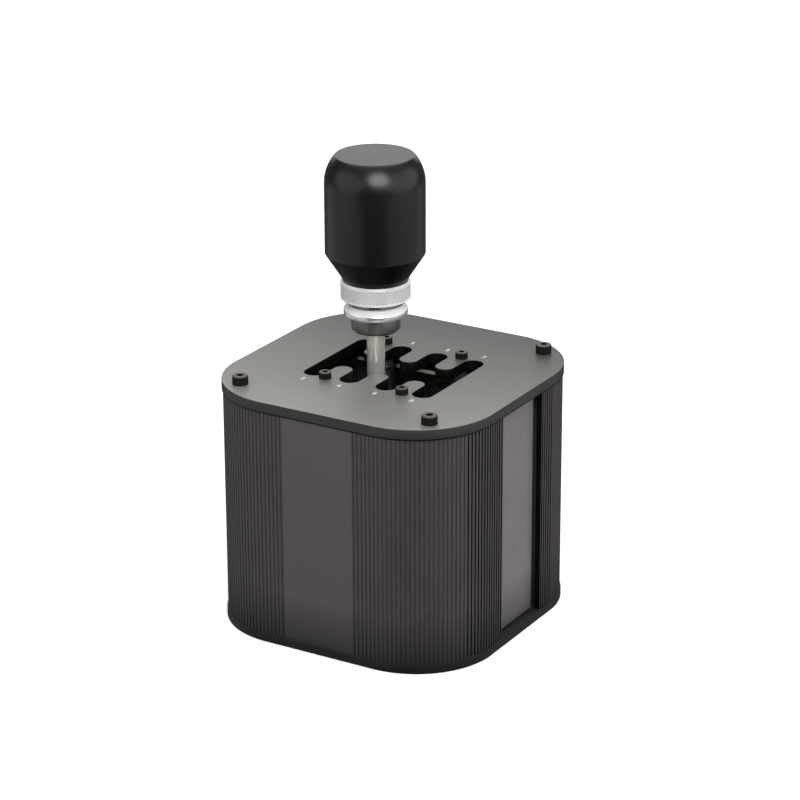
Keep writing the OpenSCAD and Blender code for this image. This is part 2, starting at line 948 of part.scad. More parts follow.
// Profile of the hub round the pivot, with the detent face below
module hub_section() {
    reach = 2 * cam_step;
    difference() {
        union() {
            circle(hub_r);
            translate([-boss_half, 0])
                square([2 * boss_half, boss_h]);
            intersection() {
                circle(cam_r);
                polygon([[0, 0], [-2 * cam_r * sin(reach), -2 * cam_r * cos(reach)],
                    [2 * cam_r * sin(reach), -2 * cam_r * cos(reach)]]);
            }
        }
        circle(hub_bush_r + seat_fit);
        for (k = [-1:1])
            rotate(k * cam_step)
                translate([0, groove_depth - cam_r - groove_r])
                    circle(groove_r);
    }
}

module lever_hub() {
    color(gunmetal)
        difference() {
            along_x(lever_x, hub_w)
                translate([0, pivot_z])
                    hub_section();
            translate([lever_x, 0, rod_z])
                cylinder(h = rod_depth + over, r = rod_r + seat_fit);
        }
}

module hub_bush() {
    color(bronze)
        translate([lever_x - hub_half, 0, pivot_z])
            rotate([0, 90, 0])
                tube(hub_bush_r, pin_r + run_fit, hub_w);
}

module on_lever(z) {
    translate([lever_x, 0, z])
        children();
}

module lever_rod() {
    rod_top = insert_top - insert_room;
    color(bright_steel)
        on_lever(rod_z)
            cylinder(h = rod_top - rod_z, r = rod_r);
}

module rod_lock_nut() {
    color(bright_steel)
        on_lever(pivot_z + boss_h)
            difference() {
                cylinder(h = nut_h, r = nut_w / sqrt(3), $fn = 6);
                translate([0, 0, -over])
                    cylinder(h = nut_h + 2 * over, r = rod_r + seat_fit);
            }
}

module magnet_ring() {
    color(bright_aluminium)
        on_lever(magnet_z)
            tube(magnet_r, rod_r + seat_fit, magnet_h);
}

module adapter_collar() {
    hole_r = rod_r + seat_fit;
    color(gunmetal)
        on_lever(top_z + adapter_z)
            rotate_extrude()
                polygon([
                    [hole_r, 0], [adapter_r - adapter_bevel, 0], [adapter_r, adapter_bevel],
                    [adapter_r, adapter_h], [hole_r, adapter_h]
                ]);
}

module silver_collar() {
    hole_r = rod_r + seat_fit;
    cone_z = collar_h - neck_gap;
    neck_z = collar_h + ring_h;
    color(bright_aluminium)
        on_lever(adapter_top)
            rotate_extrude()
                polygon([
                    [hole_r, 0], [collar_r - collar_foot, 0], [collar_r, collar_foot], [collar_r, collar_band],
                    [collar_top_r, cone_z], [neck_r, cone_z], [neck_r, neck_z], [hole_r, neck_z]
                ]);
}

module lock_ring() {
    hole_r = neck_r + seat_fit;
    color(bright_aluminium)
        on_lever(ring_z)
            rotate_extrude()
                polygon([
                    [hole_r, 0], [ring_r - ring_foot, 0], [ring_r, ring_foot],
                    [ring_r, ring_h - ring_bevel], [ring_r - ring_bevel, ring_h], [hole_r, ring_h]
                ]);
}

module knob_insert() {
    color(bronze)
        on_lever(knob_z)
            tube(insert_r, rod_r + seat_fit, insert_l);
}

module knob_body() {
    shoulder_z = knob_cone_h + knob_body_h;
    color(knob_black)
        on_lever(knob_z)
            rotate_extrude()
                difference() {
                    union() {
                        polygon([
                            [0, 0], [knob_foot_r, 0], [knob_foot_r, knob_foot_h],
                            [knob_r, knob_cone_h], [knob_r, shoulder_z], [0, shoulder_z]
                        ]);
                        intersection() {
                            translate([knob_r - knob_shoulder_r, shoulder_z])
                                circle(knob_shoulder_r);
                            translate([0, shoulder_z])
                                square([knob_r, knob_shoulder_h]);
                        }
                    }
                    square([insert_r + seat_fit, insert_l]);
                }
}

base_plate();
front_shell();
rear_shell();
left_side_panel();
right_side_panel();
top_plate();
top_corner_screws();
gate_screws();
base_corner_screws();
pillar_screws();
block_screws();
control_board();
gear_sensors();
controller_chip();
usb_socket();
end_block(-1);  // left_end_block
end_block(1);  // right_end_block
guide_rod(-1);  // front_guide_rod
guide_rod(1);  // rear_guide_rod
rod_set_screws();
carriage();
pivot_pin();
pivot_circlips();
detent_plunger();
detent_spring();
detent_ball();
lever_hub();
hub_bush();
lever_rod();
rod_lock_nut();
magnet_ring();
adapter_collar();
silver_collar();
lock_ring();
knob_insert();
knob_body();
for (i = [0:3]) {
    pillar(i);
    spacer(i);
    guide_bush(i);
    centring_spring(i);
}
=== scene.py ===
# %% [markdown]
# # A gear shifter, finished in Blender
#
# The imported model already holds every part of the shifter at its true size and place, so this lesson never
# moves one. It does two things. It gives each part the finish that the real one has, and it models again
# the parts whose look depends on small forms: rounded edges, a knurl, socket-head screws, coil springs.

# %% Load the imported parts
import math

import bmesh
import bpy
from mathutils import Matrix, Vector


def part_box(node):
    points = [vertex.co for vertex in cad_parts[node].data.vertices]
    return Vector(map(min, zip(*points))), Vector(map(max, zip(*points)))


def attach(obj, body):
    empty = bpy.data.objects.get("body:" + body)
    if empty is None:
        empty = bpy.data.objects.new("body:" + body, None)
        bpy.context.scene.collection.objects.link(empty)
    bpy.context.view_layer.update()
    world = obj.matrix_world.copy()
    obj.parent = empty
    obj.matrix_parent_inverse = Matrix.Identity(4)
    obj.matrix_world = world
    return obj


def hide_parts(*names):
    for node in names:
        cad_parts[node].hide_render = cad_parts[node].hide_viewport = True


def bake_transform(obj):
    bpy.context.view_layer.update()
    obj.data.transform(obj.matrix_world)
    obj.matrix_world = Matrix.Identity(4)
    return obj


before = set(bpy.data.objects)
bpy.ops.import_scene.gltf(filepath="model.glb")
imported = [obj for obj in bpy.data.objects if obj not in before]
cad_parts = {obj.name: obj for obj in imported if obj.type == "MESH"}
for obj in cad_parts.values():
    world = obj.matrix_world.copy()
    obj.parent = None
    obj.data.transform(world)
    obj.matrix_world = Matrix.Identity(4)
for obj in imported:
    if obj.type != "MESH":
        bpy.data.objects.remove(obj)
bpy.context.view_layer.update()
MM = 0.001
TOUCHING = 0.001 * MM

# %% [markdown]
# ## The viewpoint
#
# The photograph was taken from the front right, a little above the gate plate, with a long lens. A long lens
# flattens the perspective, so the camera stands more than a metre away. It is made first, because every
# later choice is judged through it.

# %% Camera
VIEW_AZIMUTH = math.radians(30.85)
VIEW_ELEVATION = math.radians(20.87)
VIEW_ROLL = math.radians(-0.24)
VIEW_TARGET = Vector((3.03, 0, 97.93)) * MM
VIEW_DISTANCE = 1341.2 * MM
SENSOR_MM = 36
FOCAL_OVER_WIDTH = 3.81


def direction(azimuth, elevation):
    """Points from the object to a place round it: azimuth 0 is in front, and 90 degrees is to the right."""
    flat = math.cos(elevation)
    return Vector((math.sin(azimuth) * flat, -math.cos(azimuth) * flat, math.sin(elevation)))


camera_data = bpy.data.cameras.new("photo_camera")
camera_data.sensor_width = SENSOR_MM
camera_data.lens = SENSOR_MM * FOCAL_OVER_WIDTH
camera = bpy.data.objects.new("photo_camera", camera_data)
bpy.context.scene.collection.objects.link(camera)
towards = direction(VIEW_AZIMUTH, VIEW_ELEVATION)
aim = (-towards).to_track_quat("-Z", "Y").to_matrix() @ Matrix.Rotation(VIEW_ROLL, 3, "Z")
camera.matrix_world = Matrix.Translation(VIEW_TARGET + towards * VIEW_DISTANCE) @ aim.to_4x4()
bpy.context.scene.camera = camera
print("lens in mm:", round(camera_data.lens, 1))

# %% [markdown]
# ## The floor
#
# The real shifter stands on white. One large sheet of paper does for that, and it glows a little by itself,
# so that it stays white all over. So much white paper would also fill the dark sides of the case, so the
# floor is kept out of the bounced light and out of the reflections.

# %% Floor
FLOOR_HALF = 6.0
FLOOR_DROP = 0.1 * MM
WHITE = (1, 1, 1, 1)
PAPER_COLOUR = (0.92, 0.92, 0.92, 1)
PAPER_GLOW = 0.3

floor_bm = bmesh.new()
bmesh.ops.create_grid(floor_bm, x_segments=1, y_segments=1, size=FLOOR_HALF)
bmesh.ops.translate(floor_bm, vec=(0, 0, -FLOOR_DROP), verts=floor_bm.verts)
floor_mesh = bpy.data.meshes.new("floor")
floor_bm.to_mesh(floor_mesh)
floor_bm.free()
floor = bpy.data.objects.new("floor", floor_mesh)
floor.visible_diffuse = False
floor.visible_glossy = False
bpy.context.scene.collection.objects.link(floor)
paper = bpy.data.materials.new("white_paper")
paper.use_nodes = True
paper_inputs = paper.node_tree.nodes["Principled BSDF"].inputs
paper_inputs["Base Color"].default_value = PAPER_COLOUR
paper_inputs["Roughness"].default_value = 0.9
paper_inputs["Specular IOR Level"].default_value = 0.0
paper_inputs["Emission Color"].default_value = WHITE
paper_inputs["Emission Strength"].default_value = PAPER_GLOW
floor_mesh.materials.append(paper)
print("floor width in m:", 2 * FLOOR_HALF)

# %% [markdown]
# ## Light
#
# One soft box above the camera leaves the oval spot on the knob's shoulder, and a wide screen on each side
# lights the corners. Upright rounds mirror what lies below the horizon, so two more lamps stand in for the
# bright table on either side and leave soft bands down the knob. A bright wall behind shows in the knob's
# flat top, and the rest is soft light from the ceiling. A lamp's power says little about how bright it looks,
# so each lamp here is given the glow of its surface, where 1 is white paper in full light. The plain display
# transform is chosen because Blender's default one greys the whites.

# %% World and lamps
KNOB_TOP = Vector((-9, 0, 200)) * MM
ROOM_LIGHT = 0.11


def lamp(name, azimuth, elevation, distance, width, height, glow):
    """An oval soft box that faces the knob from a place round it."""
    data = bpy.data.lights.new(name, "AREA")
    data.shape = "ELLIPSE"
    data.size = width
    data.size_y = height
    data.energy = glow * math.pi * (math.pi * width * height / 4)
    made = bpy.data.objects.new(name, data)
    away = direction(math.radians(azimuth), math.radians(elevation))
    made.location = KNOB_TOP + away * distance
    made.rotation_euler = away.to_track_quat("Z", "Y").to_euler()
    bpy.context.scene.collection.objects.link(made)


world = bpy.data.worlds.new("white_room")
world.use_nodes = True
room_inputs = world.node_tree.nodes["Background"].inputs
room_inputs["Color"].default_value = WHITE
room_inputs["Strength"].default_value = ROOM_LIGHT
bpy.context.scene.world = world
bpy.context.scene.view_settings.view_transform = "Standard"
lamp("soft_box", azimuth=40, elevation=28, distance=0.75, width=0.60, height=0.45, glow=6.2)
lamp("left_screen", azimuth=-34, elevation=12, distance=1.3, width=2.1, height=1.1, glow=0.80)
lamp("right_screen", azimuth=100, elevation=12, distance=1.3, width=2.9, height=1.1, glow=1.05)
lamp("left_table", azimuth=-52, elevation=-30, distance=1.3, width=3.0, height=1.0, glow=0.36)
lamp("right_table", azimuth=112, elevation=-30, distance=1.3, width=3.2, height=1.0, glow=0.30)
lamp("bright_wall", azimuth=211, elevation=14, distance=2.4, width=3.4, height=1.5, glow=1.0)
lamp("ceiling", azimuth=211, elevation=75, distance=1.5, width=3.0, height=2.6, glow=1.75)
print("lamps:", len(bpy.data.lights))

# %% [markdown]
# ## Writing shaders as sums
#
# A material is a graph of nodes, and a graph is tiresome to read. Two small classes make it readable. A
# `Value` wraps a node's output, so that `0.4 + 0.2 * grain` adds the Math nodes by itself. A `Finish` holds
# one material and makes every other node through a single method.

# %% Values that add up
class Value:
    """A node's output. Python's operators on it add Math nodes."""

    def __init__(self, finish, socket):
        self.finish = finish
        self.socket = socket

    def math(self, operation, first, second=0.0):
        return self.finish.node("ShaderNodeMath", {"operation": operation}, {0: first, 1: second})

    def __add__(self, other):
        return self.math("ADD", self, other)

    def __sub__(self, other):
        return self.math("SUBTRACT", self, other)

    def __rsub__(self, other):
        return self.math("SUBTRACT", other, self)

    def __mul__(self, other):
        return self.math("MULTIPLY", self, other)

    def __gt__(self, other):
        return self.math("GREATER_THAN", self, other)

    def __lt__(self, other):
        return self.math("LESS_THAN", self, other)

    def __abs__(self):
        return self.math("ABSOLUTE", self)

    def swing(self, width):
        """Noise around 0.5 made a swing of this width around 0."""
        return (self - 0.5) * width

    __radd__ = __add__
    __rmul__ = __mul__


print("values ready")

# %% [markdown]
# ## One class for every finish
#
# The methods of `Finish` are the few things that the finishes below do again and again: read a place or a
# facing, spread some noise, lay one colour over another and press a relief. Places and noise are read in
# Object coordinates and facings from the object's own normals, so a pattern stays on its part when it moves.

# %% Finishes
class Finish:
    """One material: a Principled shader and the nodes that feed it."""

    def __init__(self, name):
        self.name = name
        self.material = bpy.data.materials.new(name)
        self.material.use_nodes = True
        self.tree = self.material.node_tree
        self.shader = self.tree.nodes["Principled BSDF"]
        self.colour = None

    def node(self, kind, settings=None, sockets=None, output=0):
        made = self.tree.nodes.new(kind)
        for name, setting in (settings or {}).items():
            setattr(made, name, setting)
        for key, value in (sockets or {}).items():
            self.feed(made.inputs[key], value)
        return Value(self, made.outputs[output])

    def feed(self, socket, value):
        if isinstance(value, Value):
            self.tree.links.new(value.socket, socket)
        else:
            socket.default_value = value

    def set(self, values):
        for name, value in values.items():
            self.feed(self.shader.inputs[name], value)

    def position(self, axis):
        place = self.node("ShaderNodeTexCoord", output="Object")
        return self.node("ShaderNodeSeparateXYZ", sockets={0: place}, output=axis)

    def facing(self, axis):
        normal = self.node("ShaderNodeTexCoord", output="Normal")
        return self.node("ShaderNodeSeparateXYZ", sockets={0: normal}, output=axis)

    def noise(self, grain, detail=2.0):
        """Noise around 0.5 with grains of this size along X, Y and Z."""
        place = self.node("ShaderNodeTexCoord", output="Object")
        scale = [1 / size for size in grain]
        spread = self.node("ShaderNodeMapping", sockets={"Vector": place, "Scale": scale})
        return self.node("ShaderNodeTexNoise", sockets={"Vector": spread, "Scale": 1.0, "Detail": detail})

    def mix(self, share, first, second):
        return self.node("ShaderNodeMix", {"data_type": "RGBA"}, {0: share, 6: first, 7: second}, output=2)

    def coat(self, colour):
        self.colour = colour
        self.set({"Base Color": colour})

    def paint(self, mask, colour):
        """Covers what the mask names with another colour."""
        self.coat(self.mix(mask, self.colour, colour))

    def relief(self, height, depth):
        """Bumps the surface by a height from 0 to 1, times a depth in metres."""
        bump = self.node("ShaderNodeBump", sockets={"Height": height, "Distance": depth})
        self.set({"Normal": bump})


FINISHES = {}


def keep(finish):
    """Files a finish under its name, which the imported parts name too."""
    FINISHES[finish.name] = finish


print("class ready")

# %% [markdown]
# ## Metal and its grain
#
# Nearly every part here is metal that was drawn, turned, blasted or ground, and each leaves a grain. One
# function makes them all: a fine grain that is long in the direction of working, and slow clouds where the
# surface took the finish unevenly. Both shift the colour and the gloss by a few per cent, as on real metal.

# %% Grained metal
GRAIN_COLOUR_SWING = 1.6
GRAIN_GLOSS_SWING = 0.16
CLOUD_GLOSS_SWING = 0.12


def shade(colour, factor):
    """A colour made darker or lighter, with the alpha that a socket wants."""
    return tuple(channel * factor for channel in colour[:3]) + (1,)


def cube(size):
    """The same grain along X, Y and Z."""
    return (size, size, size)


def drawn(size):
    """Grain of an extrusion or a drawn rod that stands upright."""
    return (size, size, 60 * size)


def turned_grain(size):
    """Grain of a turned part that stands upright: fine along Z and long round it."""
    return (30 * size, 30 * size, size)


CLOUD = cube(14 * MM)


def grained(name, colour, roughness, grain, depth, metallic=1.0, contrast=0.18, cloudy=0.12, gloss=0.5):
    """Worked metal: its grain and clouds shift colour and gloss, and the grain has this depth."""
    finish = Finish(name)
    fine = finish.noise(grain)
    cloud = finish.noise(CLOUD)
    share = 0.5 + fine.swing(GRAIN_COLOUR_SWING) + cloud.swing(cloudy / contrast)
    finish.coat(finish.mix(share, shade(colour, 1 - contrast), shade(colour, 1 + contrast)))
    finish.set({"Metallic": metallic, "Specular IOR Level": gloss})
    finish.set({"Roughness": roughness + fine.swing(GRAIN_GLOSS_SWING) + cloud.swing(CLOUD_GLOSS_SWING)})
    finish.relief(fine, depth)
    return finish


print("cloud size in mm:", round(CLOUD[0] / MM, 1))

# %% [markdown]
# ## Shells and panels
#
# The shells are dark anodised extrusions with faint draw lines, and their smooth flats are painted a little
# paler than the flutes, as a painted sheen. The side panels are the same metal in a lighter grey. All of them
# are painted a darker shade just above the foot, as painted shade where the light falls off near the floor.
# Where a shell turns in beside a panel, the finish is painted nearly black as painted shade in the recess,
# and the foot plate is painted nearly black as painted shade at the foot.

# %% Shell and panel finishes
SHELL_COLOUR = (0.089, 0.081, 0.079)
FLAT_SHEEN_COLOUR = (0.122, 0.110, 0.108, 1)
PANEL_COLOUR = (0.275, 0.254, 0.249)
FOOT_PLATE_SHADE_COLOUR = (0.016, 0.016, 0.016, 1)
# A near black for painted shade in recesses, in the slots and under the plate's overhang.
SHADE_BLACK = (0.003, 0.003, 0.003, 1)
FLAT_HALF = 17.3 * MM
FLAT_SHEEN_COVER = 0.9
WINDOW_EDGE_X = 61 * MM
STEEP = 0.9
FOOT_RISE = 26 * MM
FOOT_SHADE = 0.3
base_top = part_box("base_plate")[1].z


def paint_foot_shade(finish, colour):
    """Paints shade over the last stretch above the foot, where the light falls off near the floor."""
    risen = finish.position("Z") * (1 / FOOT_RISE)
    finish.paint((risen < 1) * (1 - risen), shade(colour, FOOT_SHADE))


def shell_black():
    finish = grained(
        "shell_black", SHELL_COLOUR, roughness=0.46, grain=drawn(0.25 * MM), depth=0.01 * MM,
        metallic=0.35, gloss=0.25)
    front_or_rear = abs(finish.facing("Y")) > STEEP
    beside = abs(finish.position("X"))
    # Painted sheen: the smooth flats on the front and rear are painted paler than the flutes.
    finish.paint(front_or_rear * (beside < FLAT_HALF) * FLAT_SHEEN_COVER, FLAT_SHEEN_COLOUR)
    # Painted shade: darker towards the foot.
    paint_foot_shade(finish, SHELL_COLOUR)
    # Painted shade: the faces where a shell turns in beside a panel are painted nearly black.
    finish.paint(front_or_rear * (beside > WINDOW_EDGE_X), SHADE_BLACK)
    # Painted shade: the dark foot plate is painted nearly black.
    finish.paint(finish.position("Z") < base_top, FOOT_PLATE_SHADE_COLOUR)
    return finish


def panel_grey():
    finish = grained(
        "panel_grey", PANEL_COLOUR, roughness=0.42, grain=drawn(0.2 * MM), depth=0.008 * MM,
        metallic=0.4, gloss=0.3)
    # Painted shade: darker towards the foot.
    paint_foot_shade(finish, PANEL_COLOUR)
    return finish


keep(shell_black())
keep(panel_grey())
print("case finishes:", sorted(FINISHES))

# %% [markdown]
# ## The gate plate's finish
#
# The gate plate is bead blasted, so its grain is round, and its top is pale. Painted shade darkens the top
# from the front towards the rear. Its sideways edge is painted darker as painted shade, its lowest line is a
# painted shadow under the overhang, and the walls of its slots are painted black as painted shade. The edge
# and the walls face sideways, so the facing finds them, and the place tells one from the other.

# %% Gate plate finish
PLATE_FRONT_COLOUR = (0.236, 0.226, 0.211)
PLATE_REAR_SHADE_COLOUR = (0.060, 0.057, 0.052, 1)
PLATE_EDGE_SHADE_COLOUR = (0.047, 0.046, 0.044, 1)
GATE_HALF_X = 40 * MM
GATE_HALF_Y = 32 * MM
SHADOW_LINE_H = 0.7 * MM
plate_low, plate_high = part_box("top_plate")


def plate_grey():
    finish = grained(
        "plate_grey", PLATE_FRONT_COLOUR, roughness=0.42, grain=cube(0.35 * MM), depth=0.006 * MM,
        metallic=0.3, contrast=0.1, gloss=0.3)
    # Painted shade: the top darkens from the front to the rear.
    rear_shade_share = (finish.position("Y") - plate_low.y) * (1 / (plate_high.y - plate_low.y))
    finish.paint(rear_shade_share, PLATE_REAR_SHADE_COLOUR)
    sideways = abs(finish.facing("Z")) < STEEP
    # Painted shade: the sideways edge is painted darker than the top.
    finish.paint(sideways, PLATE_EDGE_SHADE_COLOUR)
    # Painted shadow: the lowest line of the edge, under the plate's overhang, is painted black.
    finish.paint(finish.position("Z") < plate_low.z + SHADOW_LINE_H, SHADE_BLACK)
    # Painted shade: the walls of the gate's slots are painted black.
    in_gate = (abs(finish.position("X")) < GATE_HALF_X) * (abs(finish.position("Y")) < GATE_HALF_Y)
    finish.paint(sideways * in_gate, SHADE_BLACK)
    return finish


keep(plate_grey())
print("plate in mm:", [round(side / MM, 1) for side in plate_high - plate_low])

# %% [markdown]
# ## The knob's finish
#
# The knob is satin black: slow clouds in its gloss keep it from looking like a perfect ball bearing, and its
# underside, which nobody polished, gives nothing back.

# %% Knob finish
KNOB_COLOUR = (0.0030, 0.0030, 0.0032)
KNOB_DARKER = 0.75
KNOB_LIGHTER = 1.3
KNOB_ROUGHNESS = 0.30
KNOB_CLOUD_SWING = 0.12
KNOB_SPECK_SWING = 0.1
UNDERSIDE = 0.3
UNDERSIDE_METAL = 0.6


def knob_black():
    finish = Finish("knob_black")
    cloud = finish.noise(cube(9 * MM))
    speck = finish.noise(cube(0.3 * MM))
    finish.coat(finish.mix(cloud, shade(KNOB_COLOUR, KNOB_DARKER), shade(KNOB_COLOUR, KNOB_LIGHTER)))
    uneven = KNOB_ROUGHNESS + cloud.swing(KNOB_CLOUD_SWING) + speck.swing(KNOB_SPECK_SWING)
    finish.set({"Roughness": uneven, "Specular IOR Level": 0.5})
    finish.set({"Metallic": (finish.facing("Z") < -UNDERSIDE) * UNDERSIDE_METAL})
    finish.relief(speck, 0.006 * MM)
    return finish


keep(knob_black())
print("knob finish ready")

# %% [markdown]
# ## Bright metal on the lever
#
# The lever is a stainless rod with a turned silver ring and collar and a dark adapter. Bright turned metal
# shows rings, so its grain runs round it. The ring's knurl is painted darker with the depth below its crests,
# as painted shade in its hollows, and the ring's foot, the neck and the collar's top are painted dark, as
# painted shade between ring and collar. The collar's straight band is polished and mirrors the room, while
# its cone is matt.

# %% Ring, collar, adapter and rod finishes
SILVER = (0.94, 0.94, 0.94)
BRIGHT_SILVER = (0.95, 0.95, 0.95)
GUNMETAL = (0.165, 0.176, 0.164)
STAINLESS = (0.95, 0.93, 0.85)
KNURL_SHADE_COLOUR = (0.50, 0.50, 0.505, 1)
NECK_SHADE_COLOUR = (0.16, 0.16, 0.16, 1)
KNURL_DEPTH = 0.25 * MM
RING_FOOT = 0.4 * MM
NECK_GAP = 2.4 * MM
SLOPED = 0.4
POLISHED = 0.9
CONE_LOSS = 0.8
rod_low, rod_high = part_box("lever_rod")
ring_low, ring_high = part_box("lock_ring")
LEVER_X = (rod_low.x + rod_high.x) / 2
ring_r = (ring_high.y - ring_low.y) / 2
cone_z = ring_low.z - NECK_GAP


def ring_silver():
    finish = grained(
        "ring_silver", SILVER, roughness=0.38, grain=turned_grain(0.08 * MM), depth=0.004 * MM, metallic=0.3)
    across = finish.position("X") - LEVER_X
    along = finish.position("Y")
    below_crest = (ring_r ** 2 - (across * across + along * along)) * (1 / (2 * ring_r * KNURL_DEPTH))
    on_band = abs(finish.facing("Z")) < SLOPED
    # Painted shade: the knurl is painted darker with the depth below its crests.
    finish.paint(on_band * below_crest, KNURL_SHADE_COLOUR)
    # Painted shade: the ring's foot is painted dark.
    finish.paint(finish.position("Z") < ring_low.z + RING_FOOT, NECK_SHADE_COLOUR)
    return finish


def collar_silver():
    finish = grained(
        "collar_silver", BRIGHT_SILVER, roughness=0.22, grain=turned_grain(0.1 * MM), depth=0.0015 * MM,
        contrast=0.05, cloudy=0.03)
    finish.set({"Metallic": POLISHED - CONE_LOSS * (abs(finish.facing("Z")) > SLOPED)})
    # Painted shade: the collar's top and the neck are painted dark.
    finish.paint(finish.position("Z") > cone_z + TOUCHING, NECK_SHADE_COLOUR)
    return finish


keep(ring_silver())
keep(collar_silver())
keep(grained(
    "adapter_gunmetal", GUNMETAL, roughness=0.32, grain=drawn(0.5 * MM), depth=0.006 * MM,
    metallic=0.8, contrast=0.3))
keep(grained(
    "rod_stainless", STAINLESS, roughness=0.22, grain=drawn(0.12 * MM), depth=0.001 * MM,
    metallic=0.7, contrast=0.07))
print("lever axis in mm:", round(LEVER_X / MM, 2))

# %% [markdown]
# ## Hardware finishes
#
# Screws are black oxide, and their upward faces are painted a paler brown as painted light. Ground rods,
# springs, bronze bushes and machined blocks sit inside, where the gate gives a glimpse of them, so they get
# the same care.

# %% Screws, rods, bushes and blocks
OXIDE_COLOUR = (0.014, 0.013, 0.012)
LIT_TOP_COLOUR = (0.132, 0.115, 0.100, 1)
LIT_TOP_COVER = 0.7
GROUND_STEEL = (0.62, 0.61, 0.60)
SPRING_STEEL = (0.45, 0.44, 0.43)
BRONZE = (0.50, 0.33, 0.15)
BLOCK_GREY = (0.10, 0.10, 0.10)
ALUMINIUM = (0.70, 0.70, 0.71)
NICKEL = (0.66, 0.64, 0.60)
GROUND_ROUND_X = (0.1 * MM, 2 * MM, 2 * MM)
MILLED_ALONG_X = (3 * MM, 0.15 * MM, 3 * MM)


def screw_black():
    finish = grained(
        "screw_black", OXIDE_COLOUR, roughness=0.42, grain=cube(0.3 * MM), depth=0.01 * MM,
        metallic=0.5, contrast=0.3, gloss=0.3)
    # Painted light: the upward faces of the heads are painted a paler brown.
    finish.paint((finish.facing("Z") > SLOPED) * LIT_TOP_COVER, LIT_TOP_COLOUR)
    return finish


keep(screw_black())
keep(grained("ground_steel", GROUND_STEEL, roughness=0.22, grain=GROUND_ROUND_X, depth=0.002 * MM))
keep(grained("spring_steel", SPRING_STEEL, roughness=0.3, grain=cube(0.4 * MM), depth=0.004 * MM))
keep(grained("bush_bronze", BRONZE, roughness=0.38, grain=cube(0.25 * MM), depth=0.006 * MM))
keep(grained(
    "block_grey", BLOCK_GREY, roughness=0.45, grain=MILLED_ALONG_X, depth=0.01 * MM, metallic=0.6))
keep(grained(
    "pillar_aluminium", ALUMINIUM, roughness=0.32, grain=turned_grain(0.12 * MM), depth=0.005 * MM))
keep(grained("magnet_nickel", NICKEL, roughness=0.18, grain=cube(0.5 * MM), depth=0.002 * MM))
print("finishes:", len(FINISHES))

# %% [markdown]
# ## Electronics
#
# The board carries dark green solder mask over copper tracks, and its long cut edges show the pale glass
# fibre. A brick-like row of tracks would look printed, so a stretched noise is cut at two levels instead.
# The socket is a plated shell round a white tongue, which its place alone can pick out.

# %% Board, chips and socket
BOARD_COLOUR = (0.005, 0.020, 0.012)
TRACK_COLOUR = (0.010, 0.042, 0.024, 1)
FIBRE_COLOUR = (0.55, 0.52, 0.40, 1)
CHIP_COLOUR = (0.022, 0.022, 0.024)
PLATED_STEEL = (0.66, 0.65, 0.62)
TONGUE_COLOUR = (0.70, 0.70, 0.68, 1)
TRACK_LANES = (1.2 * MM, 9 * MM, 9 * MM)
TRACK_HALF = 0.045
SQUARE_ON = 0.99
TONGUE_HALF = 2.9 * MM
ROLLED = (4 * MM, 0.12 * MM, 4 * MM)


def board_green():
    finish = grained(
        "board_green", BOARD_COLOUR, roughness=0.34, grain=cube(0.4 * MM), depth=0.004 * MM, metallic=0.0)
    lanes = finish.noise(TRACK_LANES, detail=0.0)
    track = abs(lanes - 0.5) < TRACK_HALF
    finish.paint(track, TRACK_COLOUR)
    finish.paint(abs(finish.facing("Y")) > SQUARE_ON, FIBRE_COLOUR)
    return finish


def socket_metal():
    finish = grained("socket_metal", PLATED_STEEL, roughness=0.28, grain=ROLLED, depth=0.004 * MM)
    low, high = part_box("usb_socket")
    middle = (low.z + high.z) / 2
    beside = abs(finish.position("X")) < TONGUE_HALF
    level = abs(finish.position("Z") - middle) < TONGUE_HALF
    tongue = beside * level
    finish.paint(tongue, TONGUE_COLOUR)
    finish.set({"Metallic": 1 - tongue})
    return finish


keep(board_green())
keep(grained(
    "chip_black", CHIP_COLOUR, roughness=0.55, grain=cube(0.15 * MM), depth=0.006 * MM, metallic=0.0))
keep(socket_metal())
print("finishes:", len(FINISHES))

# %% [markdown]
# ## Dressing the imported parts
#
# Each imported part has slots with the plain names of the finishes. Putting the finish into the slot of its
# name dresses the part where it stands, without touching its shape.

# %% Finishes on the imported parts
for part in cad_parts.values():
    for part_slot in part.material_slots:
        part_slot.material = FINISHES[part_slot.material.name.split(".")[0]].material
print("dressed parts:", len(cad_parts))

# %% [markdown]
# ## From bmesh to piece
#
# New pieces are modelled in bmesh, where each operator is one step of a workshop: spin, bevel, extrude. These
# helpers do the steps that every piece shares. Shading is smooth, with true corners kept sharp. Level and
# wide faces are shaded flat, because smooth shading would bend the light near their rounded edges.

# %% Helpers for pieces
CORNER = math.radians(28)
LEVEL = 0.9999
WIDE_AREA = 100 * MM ** 2


def soften(bm, width, segments=2):
    """Rounds each edge where two faces meet at a true corner."""
    corners = [edge for edge in bm.edges if edge.is_manifold and edge.calc_face_angle() > CORNER]
    bmesh.ops.bevel(
        bm, geom=corners, offset=width, affect="EDGES", segments=segments, profile=0.5, material=-1)


def make_piece(name, bm, slot, stands_for=(), finish=None):
    """Turns a closed bmesh into an object with its finish."""
    bmesh.ops.recalc_face_normals(bm, faces=bm.faces)
    mesh = bpy.data.meshes.new(name)
    bm.to_mesh(mesh)
    bm.free()
    mesh.set_sharp_from_angle(angle=CORNER)
    for face in mesh.polygons:
        face.use_smooth = abs(face.normal.z) < LEVEL and face.area < WIDE_AREA
    mesh.materials.append((finish or FINISHES[slot]).material)
    made = bpy.data.objects.new(name, mesh)
    bpy.context.scene.collection.objects.link(made)
    if stands_for:
        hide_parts(*stands_for)
    print(name, "faces:", len(mesh.polygons))
    return made


